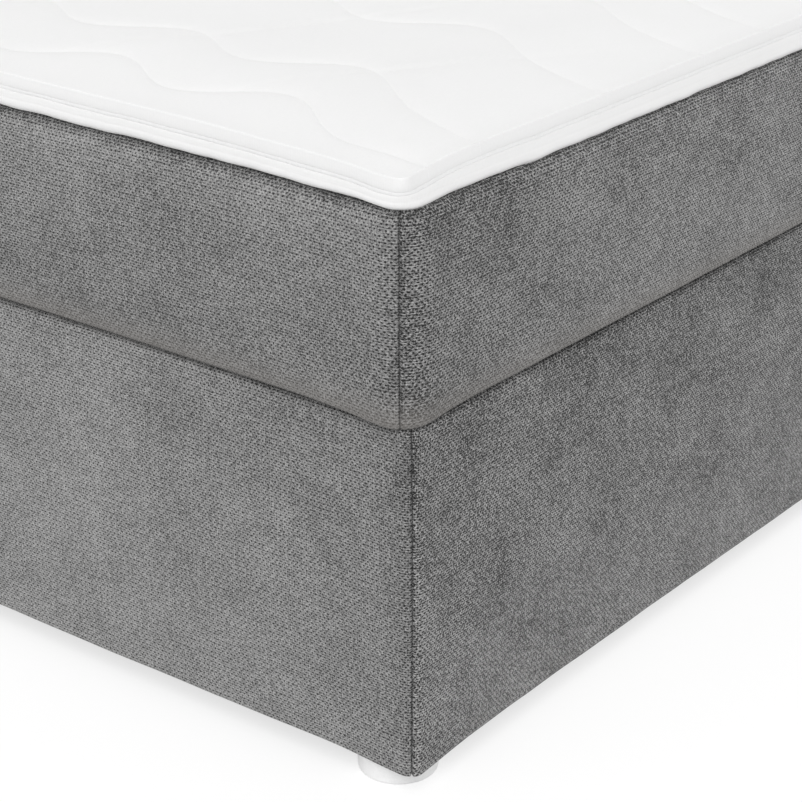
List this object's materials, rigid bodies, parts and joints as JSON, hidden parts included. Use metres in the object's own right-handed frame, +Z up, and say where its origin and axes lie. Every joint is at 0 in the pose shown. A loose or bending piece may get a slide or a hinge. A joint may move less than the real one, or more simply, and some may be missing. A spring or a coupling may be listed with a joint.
{
  "type": "box spring bed",
  "caption": "Double bed made of an upholstered sprung box on low round feet, a pocket spring mattress and a thin quilted topper with a zipped cover.",
  "frame": {"origin": "on the floor, under the middle of the bed", "axes": "+Z up, +Y along the bed towards the head end, +X across the bed, to the right of someone who stands at the foot end and looks at the head end"},
  "size_m": [1.4, 2, 0.6156],
  "materials": {
    "pine": "sawn softwood",
    "zinc_steel": "bright zinc plated",
    "foot_white": "satin white moulding",
    "spring_steel": "drawn wire, lightly oiled",
    "felt": "needled grey felt",
    "foam": "open cell foam",
    "wadding": "fibre wadding",
    "grey_weave": "coarse chenille weave, mottled mid grey",
    "platform_fabric": "fine dark grey plain weave",
    "dust_cover": "thin bonded non-woven",
    "mattress_knit": "plain pale knit",
    "pocket_fabric": "white non-woven spring pockets",
    "topper_quilt": "white quilted knit, matt",
    "zip_tape": "white woven zip tape with coil teeth",
    "zip_metal": "nickel plated"
  },
  "bodies": {
    "box": {"border_wire_lower": "spring_steel", "border_wire_upper": "spring_steel", "box_edge_foam": "foam", "box_felt": "felt", "box_panel_foot": "grey_weave", "box_panel_head": "grey_weave", "box_panel_left": "grey_weave", "box_panel_right": "grey_weave", "box_platform": "platform_fabric", "box_springs": "spring_steel", "box_top_foam": "foam", "box_wadding": "wadding", "corner_block_foot_end_left": "pine", "corner_block_foot_end_right": "pine", "corner_block_head_end_left": "pine", "corner_block_head_end_right": "pine", "deck_slats": "pine", "dust_cover": "dust_cover", "dust_cover_staples": "zinc_steel", "foot_block_middle_back": "pine", "foot_block_middle_front": "pine", "foot_bolts": "zinc_steel", "foot_foot_end_left": "foot_white", "foot_foot_end_right": "foot_white", "foot_head_end_left": "foot_white", "foot_head_end_right": "foot_white", "foot_inserts": "zinc_steel", "foot_middle_back": "foot_white", "foot_middle_front": "foot_white", "frame_centre_beam": "pine", "frame_rail_foot": "pine", "frame_rail_head": "pine", "frame_rail_left": "pine", "frame_rail_right": "pine", "frame_screws": "zinc_steel", "headboard_tee_nuts": "zinc_steel"},
    "mattress": {"mattress_bottom": "platform_fabric", "mattress_comfort_lower": "foam", "mattress_comfort_upper": "foam", "mattress_edge_foam": "foam", "mattress_felt_lower": "felt", "mattress_felt_upper": "felt", "mattress_panel_foot": "grey_weave", "mattress_panel_head": "grey_weave", "mattress_panel_left": "grey_weave", "mattress_panel_right": "grey_weave", "mattress_top": "mattress_knit", "pocket_springs": "pocket_fabric"},
    "topper": {"topper_core": "foam", "topper_cover_lower": "topper_quilt", "topper_cover_upper": "topper_quilt", "topper_zip_tape": "zip_tape"},
    "zip_slider": {"zip_slider": "zip_metal"},
    "zip_pull": {"zip_pull": "zip_metal"}
  },
  "joints": [
    {"name": "mattress_lift", "type": "slide", "parent": "box", "child": "mattress", "axis": [0, 0, 1], "range_m": [0, 0.35]},
    {"name": "topper_lift", "type": "slide", "parent": "mattress", "child": "topper", "axis": [0, 0, 1], "range_m": [0, 0.25]},
    {"name": "zip_slide", "type": "slide", "parent": "topper", "child": "zip_slider", "axis": [1, 0, 0], "range_m": [0, 1.23]},
    {"name": "pull_swing", "type": "hinge", "parent": "zip_slider", "child": "zip_pull", "pos_m": [-0.615, 0.9983, 0.59385], "axis": [1, 0, 0], "range_deg": [0, 150]}
  ]
}
